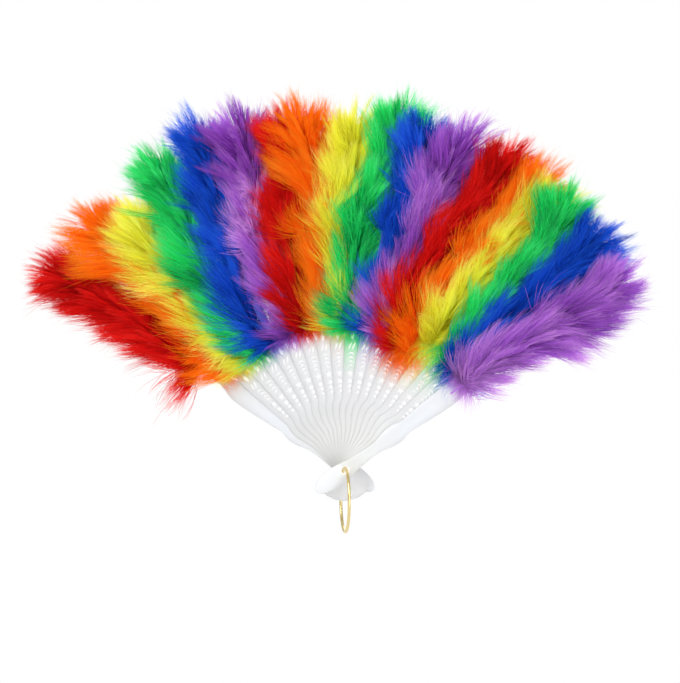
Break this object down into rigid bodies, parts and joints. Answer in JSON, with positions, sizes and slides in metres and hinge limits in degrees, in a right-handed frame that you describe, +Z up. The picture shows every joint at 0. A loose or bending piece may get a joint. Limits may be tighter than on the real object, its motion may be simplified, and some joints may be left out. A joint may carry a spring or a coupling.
{
  "type": "folding fan",
  "caption": "Hand-held folding fan of pierced plastic sticks that pivot on a loose wire ring, with dyed down feathers on every stick.",
  "frame": {"origin": "centre of the pivot hole, halfway through the stack of sticks, where a hand holds the fan", "axes": "+X to the right across the open fan, +Y from its front to its back along the pivot, +Z up through the middle of the open fan"},
  "size_m": [0.4212, 0.0534, 0.3005],
  "materials": {
    "stick_plastic": "satin",
    "ring_gold": "polished",
    "feather_red": "dyed down, soft and matte",
    "feather_orange": "dyed down, soft and matte",
    "feather_yellow": "dyed down, soft and matte",
    "feather_green": "dyed down, soft and matte",
    "feather_blue": "dyed down, soft and matte",
    "feather_purple": "dyed down, soft and matte"
  },
  "bodies": {
    "back_guard": {"guard_back": "stick_plastic", "plume_lower_01": "feather_red", "plume_upper_01": "feather_red"},
    "stick_02": {"stick_02": "stick_plastic", "plume_lower_02": "feather_orange", "plume_upper_02": "feather_orange"},
    "stick_03": {"stick_03": "stick_plastic", "plume_lower_03": "feather_yellow", "plume_upper_03": "feather_yellow"},
    "stick_04": {"stick_04": "stick_plastic", "plume_lower_04": "feather_green", "plume_upper_04": "feather_green"},
    "stick_05": {"stick_05": "stick_plastic", "plume_lower_05": "feather_blue", "plume_upper_05": "feather_blue"},
    "stick_06": {"stick_06": "stick_plastic", "plume_lower_06": "feather_purple", "plume_upper_06": "feather_purple"},
    "stick_07": {"stick_07": "stick_plastic", "plume_lower_07": "feather_red", "plume_upper_07": "feather_red"},
    "stick_08": {"stick_08": "stick_plastic", "plume_lower_08": "feather_orange", "plume_upper_08": "feather_orange"},
    "stick_09": {"stick_09": "stick_plastic", "plume_lower_09": "feather_yellow", "plume_upper_09": "feather_yellow"},
    "stick_10": {"stick_10": "stick_plastic", "plume_lower_10": "feather_green", "plume_upper_10": "feather_green"},
    "stick_11": {"stick_11": "stick_plastic", "plume_lower_11": "feather_blue", "plume_upper_11": "feather_blue"},
    "stick_12": {"stick_12": "stick_plastic", "plume_lower_12": "feather_purple", "plume_upper_12": "feather_purple"},
    "stick_13": {"stick_13": "stick_plastic", "plume_lower_13": "feather_red", "plume_upper_13": "feather_red"},
    "stick_14": {"stick_14": "stick_plastic", "plume_lower_14": "feather_orange", "plume_upper_14": "feather_orange"},
    "stick_15": {"stick_15": "stick_plastic", "plume_lower_15": "feather_yellow", "plume_upper_15": "feather_yellow"},
    "stick_16": {"stick_16": "stick_plastic", "plume_lower_16": "feather_green", "plume_upper_16": "feather_green"},
    "stick_17": {"stick_17": "stick_plastic", "plume_lower_17": "feather_blue", "plume_upper_17": "feather_blue"},
    "front_guard": {"guard_front": "stick_plastic", "plume_lower_18": "feather_purple", "plume_upper_18": "feather_purple"},
    "ring": {"hanging_ring": "ring_gold"}
  },
  "joints": [
    {"name": "fold_02", "type": "hinge", "parent": "back_guard", "child": "stick_02", "pos_m": [0, 0, 0], "axis": [0, -1, 0], "range_deg": [0, 6.35]},
    {"name": "fold_03", "type": "hinge", "parent": "back_guard", "child": "stick_03", "pos_m": [0, 0, 0], "axis": [0, -1, 0], "range_deg": [0, 12.71]},
    {"name": "fold_04", "type": "hinge", "parent": "back_guard", "child": "stick_04", "pos_m": [0, 0, 0], "axis": [0, -1, 0], "range_deg": [0, 19.06]},
    {"name": "fold_05", "type": "hinge", "parent": "back_guard", "child": "stick_05", "pos_m": [0, 0, 0], "axis": [0, -1, 0], "range_deg": [0, 25.41]},
    {"name": "fold_06", "type": "hinge", "parent": "back_guard", "child": "stick_06", "pos_m": [0, 0, 0], "axis": [0, -1, 0], "range_deg": [0, 31.77]},
    {"name": "fold_07", "type": "hinge", "parent": "back_guard", "child": "stick_07", "pos_m": [0, 0, 0], "axis": [0, -1, 0], "range_deg": [0, 38.12]},
    {"name": "fold_08", "type": "hinge", "parent": "back_guard", "child": "stick_08", "pos_m": [0, 0, 0], "axis": [0, -1, 0], "range_deg": [0, 44.47]},
    {"name": "fold_09", "type": "hinge", "parent": "back_guard", "child": "stick_09", "pos_m": [0, 0, 0], "axis": [0, -1, 0], "range_deg": [0, 50.83]},
    {"name": "fold_10", "type": "hinge", "parent": "back_guard", "child": "stick_10", "pos_m": [0, 0, 0], "axis": [0, -1, 0], "range_deg": [0, 57.18]},
    {"name": "fold_11", "type": "hinge", "parent": "back_guard", "child": "stick_11", "pos_m": [0, 0, 0], "axis": [0, -1, 0], "range_deg": [0, 63.53]},
    {"name": "fold_12", "type": "hinge", "parent": "back_guard", "child": "stick_12", "pos_m": [0, 0, 0], "axis": [0, -1, 0], "range_deg": [0, 69.88]},
    {"name": "fold_13", "type": "hinge", "parent": "back_guard", "child": "stick_13", "pos_m": [0, 0, 0], "axis": [0, -1, 0], "range_deg": [0, 76.24]},
    {"name": "fold_14", "type": "hinge", "parent": "back_guard", "child": "stick_14", "pos_m": [0, 0, 0], "axis": [0, -1, 0], "range_deg": [0, 82.59]},
    {"name": "fold_15", "type": "hinge", "parent": "back_guard", "child": "stick_15", "pos_m": [0, 0, 0], "axis": [0, -1, 0], "range_deg": [0, 88.94]},
    {"name": "fold_16", "type": "hinge", "parent": "back_guard", "child": "stick_16", "pos_m": [0, 0, 0], "axis": [0, -1, 0], "range_deg": [0, 95.3]},
    {"name": "fold_17", "type": "hinge", "parent": "back_guard", "child": "stick_17", "pos_m": [0, 0, 0], "axis": [0, -1, 0], "range_deg": [0, 101.65]},
    {"name": "fold", "type": "hinge", "parent": "back_guard", "child": "front_guard", "pos_m": [0, 0, 0], "axis": [0, -1, 0], "range_deg": [0, 108]},
    {"name": "ring_swing", "type": "hinge", "parent": "back_guard", "child": "ring", "pos_m": [0, 0, 0], "axis": [0, 1, 0], "range_deg": [-112, 112]}
  ],
  "couplings": [
    {"joint": "fold_02", "follows": "fold", "ratio": 0.058824},
    {"joint": "fold_03", "follows": "fold", "ratio": 0.11765},
    {"joint": "fold_04", "follows": "fold", "ratio": 0.17647},
    {"joint": "fold_05", "follows": "fold", "ratio": 0.23529},
    {"joint": "fold_06", "follows": "fold", "ratio": 0.29412},
    {"joint": "fold_07", "follows": "fold", "ratio": 0.35294},
    {"joint": "fold_08", "follows": "fold", "ratio": 0.41176},
    {"joint": "fold_09", "follows": "fold", "ratio": 0.47059},
    {"joint": "fold_10", "follows": "fold", "ratio": 0.52941},
    {"joint": "fold_11", "follows": "fold", "ratio": 0.58823},
    {"joint": "fold_12", "follows": "fold", "ratio": 0.64706},
    {"joint": "fold_13", "follows": "fold", "ratio": 0.70588},
    {"joint": "fold_14", "follows": "fold", "ratio": 0.76471},
    {"joint": "fold_15", "follows": "fold", "ratio": 0.82353},
    {"joint": "fold_16", "follows": "fold", "ratio": 0.88235},
    {"joint": "fold_17", "follows": "fold", "ratio": 0.94118}
  ]
}
